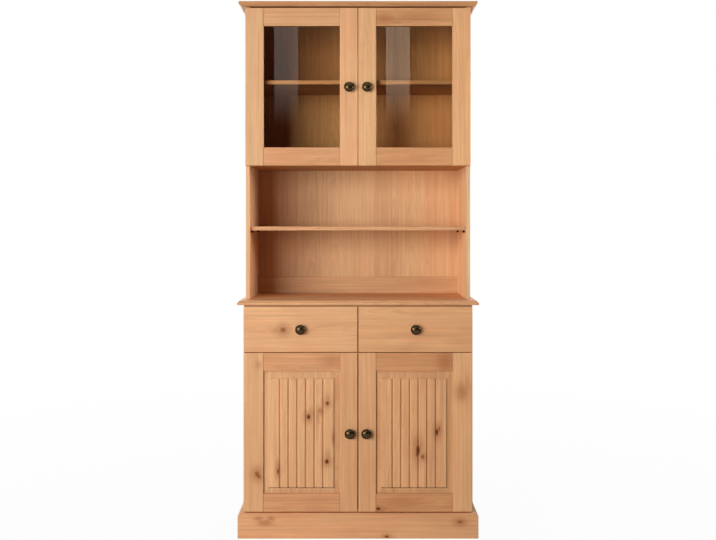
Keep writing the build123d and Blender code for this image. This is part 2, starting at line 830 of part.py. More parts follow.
# ---------------------------------------------------------------- export
os.makedirs("parts", exist_ok=True)
for name, shape in parts.items():
    shape.label = name
    export_step(shape, f"parts/{name}.step")

print(len(parts), "nodes")
print("worktop at", worktop_top, "deck at", deck_bottom, "height", total_height)
print("front plane", front_y, "hutch plane", hutch_y, "pivot", pivot_x, pivot_y(front_y))
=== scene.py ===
import math

import bpy
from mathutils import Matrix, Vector


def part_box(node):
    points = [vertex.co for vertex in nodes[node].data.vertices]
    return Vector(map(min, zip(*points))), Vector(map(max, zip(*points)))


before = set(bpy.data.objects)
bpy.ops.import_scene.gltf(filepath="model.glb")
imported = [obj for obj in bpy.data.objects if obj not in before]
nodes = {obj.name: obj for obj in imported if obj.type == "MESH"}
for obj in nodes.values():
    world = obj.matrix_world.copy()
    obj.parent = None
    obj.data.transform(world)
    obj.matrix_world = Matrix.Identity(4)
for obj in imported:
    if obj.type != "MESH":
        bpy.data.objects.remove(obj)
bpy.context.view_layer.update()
MM = 0.001
INDEX = {"X": 0, "Y": 1, "Z": 2}


# ---------------------------------------------------------------- node trees
NODE_WIDTH = 200
COLOR_A, COLOR_B, COLOR_RESULT = 6, 7, 2  # the Mix node's colour sockets


def srgb(r, g, b):
    """A display colour (0-255) as the linear value that Blender stores."""
    def linear(c):
        c /= 255
        return c / 12.92 if c <= 0.04045 else ((c + 0.055) / 1.055) ** 2.4
    return (linear(r), linear(g), linear(b), 1.0)


class Tree:
    """Short names for the nodes of one tree. Every value is a socket or a constant."""

    def __init__(self, tree):
        self.links = tree.links
        self.nodes = tree.nodes

    def node(self, kind, **settings):
        made = self.nodes.new(kind)
        made.location.x = NODE_WIDTH * len(self.nodes)
        for key, value in settings.items():
            setattr(made, key, value)
        return made

    def put(self, socket, value):
        """Links a socket to the value, or sets it where the value is a constant."""
        if isinstance(value, bpy.types.NodeSocket):
            self.links.new(value, socket)
        else:
            socket.default_value = value

    def math(self, operation, *values):
        made = self.node("ShaderNodeMath", operation=operation)
        for socket, value in zip(made.inputs, values):
            self.put(socket, value)
        return made.outputs[0]

    def add(self, a, b):
        return self.math("ADD", a, b)

    def sub(self, a, b):
        return self.math("SUBTRACT", a, b)

    def mul(self, a, b):
        return self.math("MULTIPLY", a, b)

    def div(self, a, b):
        return self.math("DIVIDE", a, b)

    def larger(self, a, b):
        return self.math("MAXIMUM", a, b)

    def step(self, value, low, high):
        """A smooth step from 0 at low to 1 at high."""
        made = self.node("ShaderNodeMapRange", interpolation_type="SMOOTHSTEP")
        for name, given in (("Value", value), ("From Min", low), ("From Max", high)):
            self.put(made.inputs[name], given)
        return made.outputs["Result"]

    def drop(self, value, low, high):
        """A smooth step from 1 at low to 0 at high."""
        return self.sub(1.0, self.step(value, low, high))

    def bell(self, squared, steepness=1.0):
        """1 at a squared distance of 0, and falling away as the distance grows."""
        return self.math("EXPONENT", self.mul(squared, -steepness))

    def span(self, value, low, high, to_low, to_high):
        """The value moved from one range to another, and held within it."""
        made = self.node("ShaderNodeMapRange", clamp=True)
        names = ("Value", "From Min", "From Max", "To Min", "To Max")
        for name, given in zip(names, (value, low, high, to_low, to_high)):
            self.put(made.inputs[name], given)
        return made.outputs["Result"]

    def xyz(self, x, y, z):
        made = self.node("ShaderNodeCombineXYZ")
        for socket, value in zip(made.inputs, (x, y, z)):
            self.put(socket, value)
        return made.outputs[0]

    def split(self, vector):
        made = self.node("ShaderNodeSeparateXYZ")
        self.put(made.inputs[0], vector)
        return made.outputs

    def position(self):
        """The place in the object's own frame, in metres."""
        return self.node("ShaderNodeTexCoord").outputs["Object"]

    def stretched(self, scales):
        """The place in the object's own frame, with a scale for each axis."""
        return self.xyz(*map(self.mul, self.split(self.position()), scales))

    def noise(self, vector, scale=1.0, detail=2.0, roughness=0.5):
        made = self.node("ShaderNodeTexNoise", noise_dimensions="3D")
        self.put(made.inputs["Vector"], vector)
        self.put(made.inputs["Scale"], scale)
        self.put(made.inputs["Detail"], detail)
        self.put(made.inputs["Roughness"], roughness)
        return made.outputs["Fac"]

    def random(self, value, salt):
        made = self.node("ShaderNodeTexWhiteNoise", noise_dimensions="2D")
        self.put(made.inputs["Vector"], self.xyz(value, salt, 0.0))
        return made.outputs["Value"]

    def mix(self, factor, a, b, blend="MIX"):
        made = self.node("ShaderNodeMix", data_type="RGBA", blend_type=blend)
        self.put(made.inputs["Factor"], factor)
        self.put(made.inputs[COLOR_A], a)
        self.put(made.inputs[COLOR_B], b)
        return made.outputs[COLOR_RESULT]

    def bump(self, height, distance, strength):
        made = self.node("ShaderNodeBump")
        self.put(made.inputs["Strength"], strength)
        self.put(made.inputs["Distance"], distance)
        self.put(made.inputs["Height"], height)
        return made.outputs["Normal"]

    def shader(self, kind, **sockets):
        """The first output of a new node, with its sockets set by name."""
        made = self.node(kind)
        for name, value in sockets.items():
            self.put(made.inputs[name.replace("_", " ")], value)
        return made.outputs[0]

    def blend(self, factor, a, b):
        """Two shaders, from all of a at 0 to all of b at 1."""
        made = self.node("ShaderNodeMixShader")
        for socket, value in zip(made.inputs, (factor, a, b)):
            self.put(socket, value)
        return made.outputs[0]

    def finish(self, shader, kind="ShaderNodeOutputMaterial"):
        self.put(self.node(kind).inputs["Surface"], shader)


def new_material(name):
    material = bpy.data.materials.new(name)
    material.use_nodes = True
    material.node_tree.nodes.clear()
    return material, Tree(material.node_tree)


# ---------------------------------------------------------------- pine
EARLY = srgb(226, 170, 122)
LATE = srgb(197, 131, 86)
WARM = srgb(212, 146, 102)
PALE = srgb(230, 182, 128)
HALO = srgb(186, 112, 66)
KNOT_CORE = srgb(84, 44, 20)
KNOT_RING = srgb(150, 88, 48)

# noise cells per mm, along, across and through the board
KNOT_CELLS = (0.0046, 0.0078)
WILD_OUTLINE = (0.07, 0.11)
PLACED_OUTLINE = (0.16, 0.22)
SLOW_WAVE = (0.0021, 0.009, 0.009)
FINE_WAVE = (0.012, 0.055, 0.05)
FIBRE = (0.02, 0.9, 0.9)
STREAK = (0.0028, 0.11, 0.11)
CLOUD = (0.006, 0.014)
CLOUD_SHIFT = 40.0

# what makes each strip differ from the next
SEED_STRIDE = 7.3
STRIP_SHIFT = 61.7
SALTS = (1.7, 5.1, 9.4)

# growth rings, in mm, and the share of each ring where late wood darkens and ends
RING_SPACING = 3.6
FINE_HEIGHT = 5.0
KNOT_BEND = 17.0
LATE_STARTS, LATE_ENDS = (0.25, 0.88), (0.93, 1.0)

# the pith: its depth behind the board in mm, how that varies from strip to strip, its
# sideways range as a share of the strip, and its slopes along and through the board
PITH_DEPTH, PITH_VARIES = 26.0, 70.0
PITH_SIDEWAYS, PITH_SLOPE, PITH_LEAN = 0.8, 0.09, 0.35

# wild knots: cells above the threshold hold one. Sizes are in cells.
KNOT_THRESHOLD, KNOT_SIZE, NO_SIZE, CELL_SCATTER = 0.58, 0.058, 0.00001, 0.85
KNOT_THERE, KNOT_RIM, WILD_HALO_FALL = (0.02, 0.2), (0.7, 1.05), 0.14

# how much each pattern adds to the colour and to its lightness
CLOUD_RANGE = (0.35, 0.7)
CLOUD_SHARE, PALE_SHARE, HALO_SHARE, LINE_SHARE = 0.55, 0.38, 0.58, 0.75
FIBRE_LIGHT, STREAK_LIGHT, STRIP_LIGHT, HALO_SHADE = 0.18, 0.55, 0.10, 0.24
KNOT_TINTED, KNOT_DARK = (0.0, 0.5), (0.45, 0.95)
FAINT_RING, RING_VARIES = 0.45, 0.55

# relief and roughness of the lacquered surface
LATE_RELIEF, FIBRE_RELIEF, KNOT_RELIEF = 0.6, 0.55, 0.4
RELIEF_HEIGHT, RELIEF_STRENGTH = 0.00022, 0.55
ROUGHNESS, FIBRE_ROUGHER, LATE_SMOOTHER = 0.56, 0.12, 0.06
LACQUER_GLOSS, LACQUER_IOR = 0.35, 1.45


def pine_group():
    """Solid pine in a board's own frame, in mm: X along the grain, Y across, Z through.

    Strips glued side by side have their own growth rings and tint. Halo bends the
    rings round knots and darkens the wood there; it also carries darker patches, some of
    them painted shade. Knot is the knots' own mask. Line darkens joints, and carries
    painted shade in grooves and under a raised field's lower shoulder.
    """
    group = bpy.data.node_groups.new("Pine", "ShaderNodeTree")
    face = group.interface
    inputs = (("Position", "Vector"), ("Seed", "Float"), ("Strip", "Float"), ("Tone", "Float"),
              ("Figure", "Float"), ("Wave", "Float"), ("Halo", "Float"), ("Knot", "Float"),
              ("Wild", "Float"), ("Line", "Float"), ("Tint", "Color"))
    for name, kind in inputs:
        face.new_socket(name=name, in_out="INPUT", socket_type="NodeSocket" + kind)
    for name, kind in (("Color", "Color"), ("Height", "Float"), ("Roughness", "Float")):
        face.new_socket(name=name, in_out="OUTPUT", socket_type="NodeSocket" + kind)
    t = Tree(group)
    given = t.node("NodeGroupInput").outputs
    seed, strip = given["Seed"], given["Strip"]
    along, across, through = t.split(given["Position"])

    # strips: random numbers for each, and the place within the strip
    ratio = t.div(across, strip)
    index = t.math("FLOOR", ratio)
    key = t.add(index, t.mul(seed, SEED_STRIDE))
    r1, r2, r3 = (t.random(key, salt) for salt in SALTS)
    inside = t.mul(t.sub(t.sub(ratio, index), 0.5), strip)
    shift = t.mul(key, STRIP_SHIFT)
    shifted = t.add(along, shift)

    def pattern(scales, third=None, start=along):
        """A place for a noise. Its third axis goes through the board if none is given."""
        if third is None:
            third = t.add(t.mul(through, scales[2]), shift)
        return t.xyz(t.mul(start, scales[0]), t.mul(across, scales[1]), third)

    # wild knots: some cells of a stretched Voronoi pattern hold one
    cells = t.node("ShaderNodeTexVoronoi", voronoi_dimensions="2D", feature="F1")
    t.put(cells.inputs["Vector"], pattern(KNOT_CELLS, 0.0, shifted))
    t.put(cells.inputs["Scale"], 1.0)
    t.put(cells.inputs["Randomness"], CELL_SCATTER)
    cell_random = t.split(cells.outputs["Color"])[0]
    reach = t.mul(t.step(cell_random, KNOT_THRESHOLD, 1.0), given["Wild"])
    radius = t.add(t.mul(reach, KNOT_SIZE), NO_SIZE)
    wobble = t.noise(pattern(WILD_OUTLINE, shift))
    swell = t.add(0.75, t.mul(wobble, 0.5))
    nearness = t.div(t.mul(cells.outputs["Distance"], swell), radius)
    there = t.step(reach, *KNOT_THERE)
    wild_knot = t.mul(t.drop(nearness, *KNOT_RIM), there)
    wild_halo = t.mul(t.bell(t.mul(nearness, nearness), WILD_HALO_FALL), there)
    knot = t.larger(wild_knot, given["Knot"])
    halo = t.larger(wild_halo, given["Halo"])

    # growth rings round a pith that lies behind the board and slowly drifts
    slow = t.noise(pattern(SLOW_WAVE, start=shifted))
    fine = t.noise(pattern(FINE_WAVE))
    pith_side = t.add(inside, t.mul(t.sub(r1, 0.5), t.mul(strip, PITH_SIDEWAYS)))
    slope = t.mul(t.sub(r2, 0.5), PITH_SLOPE)
    pith_depth = t.add(t.add(t.mul(r3, PITH_VARIES), PITH_DEPTH), t.mul(along, slope))
    pith_depth = t.add(pith_depth, t.mul(through, PITH_LEAN))
    radial = t.math("SQRT", t.add(t.mul(pith_side, pith_side), t.mul(pith_depth, pith_depth)))
    radial = t.add(radial, t.mul(t.sub(slow, 0.5), given["Wave"]))
    radial = t.add(radial, t.mul(t.sub(fine, 0.5), FINE_HEIGHT))
    radial = t.add(radial, t.mul(halo, KNOT_BEND))
    ring = t.div(radial, RING_SPACING)
    phase = t.math("FRACT", ring)
    late = t.mul(t.step(phase, *LATE_STARTS), t.drop(phase, *LATE_ENDS))
    ring_random = t.random(t.math("FLOOR", ring), seed)
    late = t.mul(late, t.add(FAINT_RING, t.mul(ring_random, RING_VARIES)))

    # fibres, rays and slow changes of tint
    fibre = t.noise(pattern(FIBRE), detail=3.0, roughness=0.6)
    streak = t.noise(pattern(STREAK), detail=3.0, roughness=0.55)
    cloud = t.noise(pattern(CLOUD, t.add(shift, CLOUD_SHIFT)))
    color = t.mix(t.mul(late, given["Figure"]), EARLY, LATE)
    color = t.mix(t.span(cloud, *CLOUD_RANGE, 0.0, CLOUD_SHARE), color, WARM)
    color = t.mix(t.mul(r2, PALE_SHARE), color, PALE)
    light = t.add(t.mul(t.sub(fibre, 0.5), FIBRE_LIGHT), t.mul(t.sub(streak, 0.5), STREAK_LIGHT))
    light = t.add(light, t.mul(t.sub(r1, 0.5), STRIP_LIGHT))
    light = t.add(light, given["Tone"])
    light = t.add(1.0, t.sub(light, t.mul(halo, HALO_SHADE)))
    color = t.mix(1.0, color, t.xyz(light, light, light), "MULTIPLY")
    color = t.mix(1.0, color, given["Tint"], "MULTIPLY")
    color = t.mix(t.mul(halo, HALO_SHARE), color, HALO)

    # knots have a dark core in a reddish ring
    knot_tint = t.mix(t.step(knot, *KNOT_DARK), KNOT_RING, KNOT_CORE)
    color = t.mix(t.step(knot, *KNOT_TINTED), color, knot_tint)
    color = t.mix(t.mul(given["Line"], LINE_SHARE), color, KNOT_CORE)

    made = t.node("NodeGroupOutput").inputs
    t.put(made["Color"], color)
    height = t.add(t.mul(late, LATE_RELIEF), t.mul(fibre, FIBRE_RELIEF))
    t.put(made["Height"], t.add(height, t.mul(knot, KNOT_RELIEF)))
    rough = t.add(ROUGHNESS, t.mul(fibre, FIBRE_ROUGHER))
    t.put(made["Roughness"], t.sub(rough, t.mul(late, LATE_SMOOTHER)))
    return group


PINE = pine_group()

# placed knots, in radii: the core's edge, and how fast the halo falls away
CORE_EDGE, HALO_FALL = (0.35, 1.15), 0.22
HAIRLINE = (0.35, 1.1)  # mm from a joint: dark up to the first, clear from the second

# painted shade round a raised field, in mm: depths behind the field's face, and
# heights from its lower shoulder
GROOVE_DEPTHS, GROOVE_PAINTED_SHADE = (1.6, 5.0), 0.14
SHOULDER_HEIGHTS, SHOULDER_PAINTED_SHADE = (2.1, 3.6), 0.78
SHOULDER_STARTS, SHOULDER_ENDS = (0.1, 0.9), (4.5, 5.0)


def squared_distance(t, places, origin, middle, radii):
    """The squared distance from the middle, in radii, over as many axes as middle has."""
    total = 0.0
    for place, start, at, radius in zip(places, origin, middle, radii):
        part = t.div(t.sub(place, at - start), radius)
        total = t.add(t.mul(part, part), total)
    return total


def pine(name, order, origin, seed, strip, figure, wave, tone=0.0, tint=(1.0, 1.0, 1.0),
         knots=(), smudges=(), wild=0.0, lines=(), field=None, shades=()):
    """A board's own pine material.

    order names the object axes that run along, across and through the board. origin is
    the board frame's zero, and all places are in mm in the object's own frame.
    strip is the width of the glued strips, figure the contrast of the growth rings, wave
    how far the rings wander in mm, and wild the amount of knots that come by chance.
    knots: (along, across, long radius, cross radius, depth of colour) each.
    smudges: darker reddish patches, as (along, across, long radius, cross radius,
    strength); most are wood figure, and those on the hutch back are painted shade.
    shades: places painted lighter or darker to stand in for light and
    shade, as (middle, radii, strength), both with a value along, across and through the board.
    lines: places along the board where it meets the next one, seen as a dark hairline.
    field: the y of a raised field and the z of its lower shoulder. The wood is painted
    darker there as shade: in the grooves and the sunk margin behind the field's face, and
    under that shoulder.
    """
    material, t = new_material(name)
    scaled = t.node("ShaderNodeVectorMath", operation="SCALE")
    t.put(scaled.inputs[0], t.position())
    t.put(scaled.inputs["Scale"], 1 / MM)
    axes = dict(zip("XYZ", t.split(scaled.outputs[0])))
    places = [t.sub(axes[axis], start) for axis, start in zip(order, origin)]
    knot_mask, halo_and_shade_mask = 0.0, 0.0
    if knots:
        outline = t.xyz(*map(t.mul, places, PLACED_OUTLINE), seed)
        swell = t.add(0.7, t.mul(t.noise(outline), 0.6))
    for along, across, long_radius, cross_radius, depth in knots:
        far = squared_distance(t, places, origin, (along, across), (long_radius, cross_radius))
        far = t.mul(t.math("SQRT", far), swell)
        knot_mask = t.larger(t.mul(t.drop(far, *CORE_EDGE), depth), knot_mask)
        halo_and_shade_mask = t.larger(t.bell(t.mul(far, far), HALO_FALL), halo_and_shade_mask)
    # darker reddish patches: wood figure on most boards, painted shade on the hutch back
    for along, across, long_radius, cross_radius, strength in smudges:
        far = squared_distance(t, places, origin, (along, across), (long_radius, cross_radius))
        halo_and_shade_mask = t.larger(t.mul(t.bell(far), strength), halo_and_shade_mask)
    # painted light and shade: each place raises or lowers the wood's tone
    for middle, radii, strength in shades:
        far = squared_distance(t, places, origin, middle, radii)
        tone = t.add(t.mul(t.bell(far), strength), tone)
    dark = 0.0
    for place in lines:
        gap = t.math("ABSOLUTE", t.sub(places[0], place - origin[0]))
        dark = t.larger(t.drop(gap, *HAIRLINE), dark)
    # painted shade: darker in the grooves and sunk margin behind the field's face, and under its
    # lower shoulder
    if field is not None:
        depth = t.sub(axes["Y"], field[0])
        groove_shade = t.mul(t.step(depth, *GROOVE_DEPTHS), GROOVE_PAINTED_SHADE)
        near = t.math("ABSOLUTE", t.sub(axes["Z"], field[1]))
        under = t.mul(t.drop(near, *SHOULDER_HEIGHTS), t.drop(depth, *SHOULDER_ENDS))
        under = t.mul(under, t.step(depth, *SHOULDER_STARTS))
        dark = t.larger(t.larger(groove_shade, t.mul(under, SHOULDER_PAINTED_SHADE)), dark)
    group = t.node("ShaderNodeGroup", node_tree=PINE)
    values = {"Position": t.xyz(*places), "Seed": float(seed), "Strip": strip, "Tone": tone,
              "Figure": figure, "Wave": wave, "Halo": halo_and_shade_mask, "Knot": knot_mask,
              "Wild": wild, "Line": dark, "Tint": (*tint, 1.0)}
    for socket, value in values.items():
        t.put(group.inputs[socket], value)
    relief = t.bump(group.outputs["Height"], RELIEF_HEIGHT, RELIEF_STRENGTH)
    t.finish(t.shader("ShaderNodeBsdfPrincipled", Base_Color=group.outputs["Color"],
                      Roughness=group.outputs["Roughness"], Normal=relief,
                      Specular_IOR_Level=LACQUER_GLOSS, IOR=LACQUER_IOR))
    return material


def centre(node, axis):
    low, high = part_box(node)
    return (low[axis] + high[axis]) / 2 / MM


def dress(node, material):
    """Gives a CAD node its material."""
    mesh = nodes[node].data
    mesh.materials.clear()
    mesh.materials.append(material)


# a single board lies in one strip far wider than itself, and a glued one starts part of
# the way into its first strip. A door's two rails lie a whole number of strips apart.
SINGLE_STRIP, SINGLE_WAVE = 400.0, 15.0
GLUED_START, GLUED_WAVE = 0.37, 38.0
RAIL_HEIGHT, RAIL_STRIPS_APART, RAIL_WAVE = 68.0, 5, 14.0


def board(node, order, seed, strip=None, figure=0.55, **look):
    """Pine on one CAD node: strips glued side by side, or centred in one wide strip."""
    across = INDEX[order[1]]
    if strip is None:
        strip = SINGLE_STRIP
        start = centre(node, across) - strip / 2
        look.setdefault("wave", SINGLE_WAVE)
    else:
        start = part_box(node)[0][across] / MM - strip * GLUED_START
        look.setdefault("wave", GLUED_WAVE)
    origin = (0.0, start, centre(node, INDEX[order[2]]))
    dress(node, pine("pine_" + node, order, origin, seed, strip, figure, **look))


def rails(node, seed, **look):
    """The two rails of a door, each in the middle of a strip of its own."""
    low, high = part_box(node)
    left, right = (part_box(node.replace("rails", "stile_" + end)) for end in ("outer", "inner"))
    if left[0].x > right[0].x:
        left, right = right, left
    lines = (left[1].x / MM, right[0].x / MM)
    strip = ((high.z - low.z) / MM - RAIL_HEIGHT) / RAIL_STRIPS_APART
    start = low.z / MM + RAIL_HEIGHT / 2 - strip / 2
    origin = (0.0, start, centre(node, 1))
    dress(node, pine("pine_" + node, "XZY", origin, seed, strip, wave=RAIL_WAVE, lines=lines,
                     **look))


# base doors
FIELD_SHOULDER = 187.2  # the height of the panels' lower shoulder
FIELD = (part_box("base_door_left_panel")[0].y / MM, FIELD_SHOULDER)

board("base_door_left_stile_outer", "ZXY", 11, tone=0.03, tint=(1.0, 1.05, 1.07), figure=0.4,
      knots=((238, -373, 13, 10, 0.5), (229, -366, 9, 8, 0.5)),
      smudges=((641, -369, 16, 12, 0.5), (236, -371, 24, 17, 0.9)))
board("base_door_left_stile_inner", "ZXY", 12, tone=0.01, figure=0.4)
rails("base_door_left_rails", 13, tone=-0.08, tint=(1.0, 0.95, 0.92), figure=0.35,
      smudges=((-100, 656, 40, 22, 0.6),))
board("base_door_left_panel", "ZXY", 14, strip=71.0, tone=0.02, tint=(1.0, 1.05, 1.08),
      figure=0.4, field=FIELD,
      knots=((499, -113, 8, 7, 0.75), (449, -183, 11, 7.5, 0.95), (471, -141, 8, 6, 0.2),
             (284, -115, 10, 8.5, 0.95), (248, -296, 13, 4.5, 0.65)),
      smudges=((371, -91, 26, 6, 1.0), (294, -113, 30, 11, 0.9), (506, -112, 26, 11, 0.8),
               (262, -296, 28, 8, 0.9), (462, -172, 20, 12, 0.6), (452, -148, 34, 7, 0.7)))
board("base_door_right_stile_outer", "ZXY", 21, figure=0.4,
      smudges=((541, 384, 34, 24, 1.0), (560, 405, 60, 12, 0.6)))
board("base_door_right_stile_inner", "ZXY", 22, tone=0.03, figure=0.4)
rails("base_door_right_rails", 23, tone=-0.13, tint=(1.0, 0.88, 0.80), figure=0.5,
      knots=((75, 110, 10, 6.5, 0.95),),
      smudges=((322, 652, 28, 32, 1.0), (160, 138, 80, 20, 0.6), (90, 112, 24, 8, 0.7)))
board("base_door_right_panel", "ZXY", 24, strip=71.0, figure=0.4, field=FIELD,
      knots=((325, 222, 21, 9, 0.75), (302, 239, 9, 7, 0.5), (312, 219, 12, 6, 0.6),
             (392, 292, 15, 6, 0.9), (404, 300, 12, 5, 0.4)),
      smudges=((326, 222, 52, 20, 1.0), (352, 210, 26, 9, 0.7), (394, 297, 32, 12, 1.0)))

# drawers
board("drawer_left_front", "XZY", 31, tone=0.01, tint=(1.0, 1.03, 1.05), figure=0.4,
      knots=((-277, 771, 12, 11, 0.45),),
      smudges=((-288, 770, 34, 12, 0.8), (-262, 771, 20, 16, 0.5)))
board("drawer_right_front", "XZY", 32, tone=0.03, tint=(1.0, 1.02, 1.0), figure=0.4)
for side, seed in (("left", 33), ("right", 35)):
    board(f"drawer_{side}_walls", "YZX", seed, tone=0.02, wild=0.6)
    board(f"drawer_{side}_bottom", "XYZ", seed + 1, tone=0.04, figure=0.4)

# hutch doors
board("hutch_door_left_stile_outer", "ZXY", 41, tone=-0.09, tint=(0.97, 1.03, 1.09), figure=0.35)
board("hutch_door_left_stile_inner", "ZXY", 42, tone=0.01, tint=(0.99, 1.04, 1.08), figure=0.35)
rails("hutch_door_left_rails", 43, tone=-0.07, figure=0.4,
      smudges=((-180, 1416, 240, 60, 0.3),))
board("hutch_door_right_stile_outer", "ZXY", 51, tone=-0.03, figure=0.35)
board("hutch_door_right_stile_inner", "ZXY", 52, tone=-0.05, tint=(0.99, 1.02, 1.04),
      figure=0.35)
rails("hutch_door_right_rails", 53, tone=-0.12, tint=(1.0, 0.93, 0.86), figure=0.45,
      smudges=((98, 1935, 44, 22, 1.0), (220, 1940, 100, 26, 0.6), (150, 1921, 26, 7, 0.8),
               (190, 1416, 240, 60, 0.3)))
for side, seed in (("left", 44), ("right", 54)):
    board(f"hutch_door_{side}_glazing_beads", "ZXY", seed, tone=-0.02, figure=0.4)

# base, worktop and top board
board("worktop", "XYZ", 61, strip=95.0, tone=-0.01, wild=0.5)
# painted shade: the top board is darker and browner all over, as shade on its downward bevel
board("top_board", "XYZ", 62, strip=90.0, tone=-0.31, tint=(1.0, 0.92, 0.86), wild=0.5)
board("plinth_front", "XZY", 63, tone=0.02, figure=0.45,
      knots=((377, 62, 13, 7, 0.4), (106, 8, 9, 5, 0.7)),
      smudges=((-368, 74, 16, 8, 1.0), (-356, 60, 14, 7, 1.0), (-338, 62, 18, 7, 1.0),
               (-322, 74, 14, 8, 1.0), (-344, 54, 26, 6, 1.0), (377, 62, 26, 10, 0.7)))
board("plinth_sides", "YZX", 64, tone=-0.04, wild=0.7)
for side, seed in (("left", 65), ("right", 66)):
    board(f"base_side_{side}", "ZYX", seed, strip=88.0, wild=1.0)
for panel, seed in (("base_bottom", 75), ("drawer_deck", 76)):
    board(panel, "XYZ", seed, strip=92.0, tone=-0.02, wild=0.7)
board("drawer_divider", "YZX", 77, tone=-0.02)
board("worktop_rails", "XYZ", 78, strip=293.0, tone=-0.03)
board("cupboard_shelf", "XYZ", 79, strip=86.0, wild=0.7)
board("base_back", "ZXY", 85, strip=120.0, tone=0.03, figure=0.5)

# hutch
SIDE_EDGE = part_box("hutch_side_right")[0].y / MM
SIDE_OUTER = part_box("hutch_side_right")[1].x / MM
SHELF_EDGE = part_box("display_shelf")[0].y / MM
BACK_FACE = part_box("hutch_back")[0].y / MM

board("hutch_side_left", "ZYX", 70, strip=84.0, tone=0.03, tint=(0.98, 1.06, 1.18), wild=0.7)
# painted light: the inner face is lighter than the outer face and the front edge, as light falls
# on it from the left
board("hutch_side_right", "ZYX", 71, strip=84.0, tone=0.27, tint=(1.0, 1.15, 1.28), wild=0.7,
      shades=(((1400, SIDE_EDGE, SIDE_OUTER), (2000, 10, 100), -0.2),
              ((1400, 0, SIDE_OUTER), (2000, 2000, 1.5), -0.33)))
# painted shade and light: the shelf is darker all over, as shade on its underside, and its front
# edge is painted lighter, as light falling on it
board("display_shelf", "XYZ", 80, strip=96.0, tone=-0.2, tint=(0.99, 1.07, 1.2),
      shades=(((0, SHELF_EDGE, 1700), (900, 14, 100), 0.5),
              ((-280, SHELF_EDGE, 1700), (230, 14, 100), 0.16)))
board("niche_shelf", "XYZ", 81, strip=96.0, tone=-0.05)
# painted shade: the deck is darker and browner all over, as shade on its underside above the
# niche
board("hutch_deck", "XYZ", 82, strip=92.0, tone=-0.3, tint=(1.0, 0.86, 0.62), wild=0.5)
# painted shade: the two darker patches stand for shadow behind the left pane and on the left of
# the niche; painted light: the paler patch behind the right pane stands for light falling there
board("hutch_back", "ZXY", 83, strip=104.0, tone=0.01, tint=(0.95, 1.09, 1.16), figure=0.45,
      wave=13.0, smudges=((1840, -170, 170, 140, 0.8), (1150, -300, 300, 190, 0.42)),
      shades=(((1560, 190, BACK_FACE), (260, 190, 3), 0.5),))
board("hutch_back_rail", "XZY", 84, tone=-0.12, tint=(1.0, 1.05, 1.08))


# ---------------------------------------------------------------- other materials
# noise cells per metre, for each axis of the object
BEECH_FIBRE, BEECH_FLECK = (900.0, 22.0, 900.0), (500.0, 140.0, 500.0)
STEEL_BRUSHING = (300.0, 2600.0, 2600.0)
BRONZE_CLOUD, BRONZE_GRAIN = 160.0, 1100.0

# metres behind a knob's foremost point: the rubbed part, and the screw
WORN_DEPTH, WORN_SPREAD = (0.001, 0.011), 0.006
SCREW_STARTS = (0.0262, 0.0266)
UNWORN_FRONT = -0.3  # so far in front that nothing is rubbed
BRONZE_DARK, BRONZE_RUBBED = srgb(22, 14, 9), srgb(72, 57, 37)
SCREW_STEEL = srgb(190, 188, 180)

# the glass itself, and what it leaves of the light that passes on to the shelves
GLASS_IOR = 1.47
GLASS_BODY = (0.99, 0.97, 0.93, 1.0)
GLASS_SHADE = (0.93, 0.85, 0.70, 1.0)
BLACK, WHITE = (0.0, 0.0, 0.0, 1.0), (1.0, 1.0, 1.0, 1.0)


def hardwood():
    """Plain beech: fine short flecks along Y, with little figure."""
    material, t = new_material("beech")
    fibre = t.noise(t.stretched(BEECH_FIBRE), detail=3.0, roughness=0.6)
    fleck = t.noise(t.stretched(BEECH_FLECK), detail=1.0)
    color = t.mix(fibre, srgb(214, 170, 124), srgb(184, 134, 90))
    color = t.mix(t.mul(t.step(fleck, 0.6, 0.7), 0.5), color, srgb(150, 100, 62))
    t.finish(t.shader("ShaderNodeBsdfPrincipled", Base_Color=color,
                      Roughness=t.add(0.42, t.mul(fibre, 0.15)),
                      Normal=t.bump(fibre, 0.0001, 0.4)))
    return material


def bronze(front, name, screwed=True):
    """Antique bronze: near black towards the rim, burnished where hands reach it.

    front is the knob's foremost y. Behind the wood a knob's node also holds its screw.
    """
    material, t = new_material(name)
    position = t.position()
    depth = t.sub(t.split(position)[1], front)
    cloud = t.noise(position, BRONZE_CLOUD, 3.0, 0.6)
    grain = t.noise(position, BRONZE_GRAIN)
    worn = t.drop(t.add(depth, t.mul(t.sub(cloud, 0.5), WORN_SPREAD)), *WORN_DEPTH)
    color = t.mix(worn, BRONZE_DARK, BRONZE_RUBBED)
    if screwed:
        color = t.mix(t.step(depth, *SCREW_STARTS), color, SCREW_STEEL)
    rough = t.add(t.span(cloud, 0.3, 0.7, 0.20, 0.28), t.mul(grain, 0.05))
    t.finish(t.shader("ShaderNodeBsdfPrincipled", Base_Color=color, Metallic=0.92,
                      Roughness=rough, Specular_Tint=(0.34, 0.28, 0.22, 1.0),
                      Normal=t.bump(grain, 0.00004, 0.35)))
    return material


def steel():
    """Nickel-plated steel, lightly brushed along X."""
    material, t = new_material("nickel_steel")
    brushed = t.noise(t.stretched(STEEL_BRUSHING))
    cloud = t.noise(t.position(), 60.0)
    t.finish(t.shader("ShaderNodeBsdfPrincipled", Metallic=1.0,
                      Base_Color=t.mix(cloud, srgb(196, 194, 188), srgb(222, 220, 214)),
                      Roughness=t.add(0.24, t.mul(brushed, 0.16)),
                      Normal=t.bump(brushed, 0.00003, 0.3)))
    return material


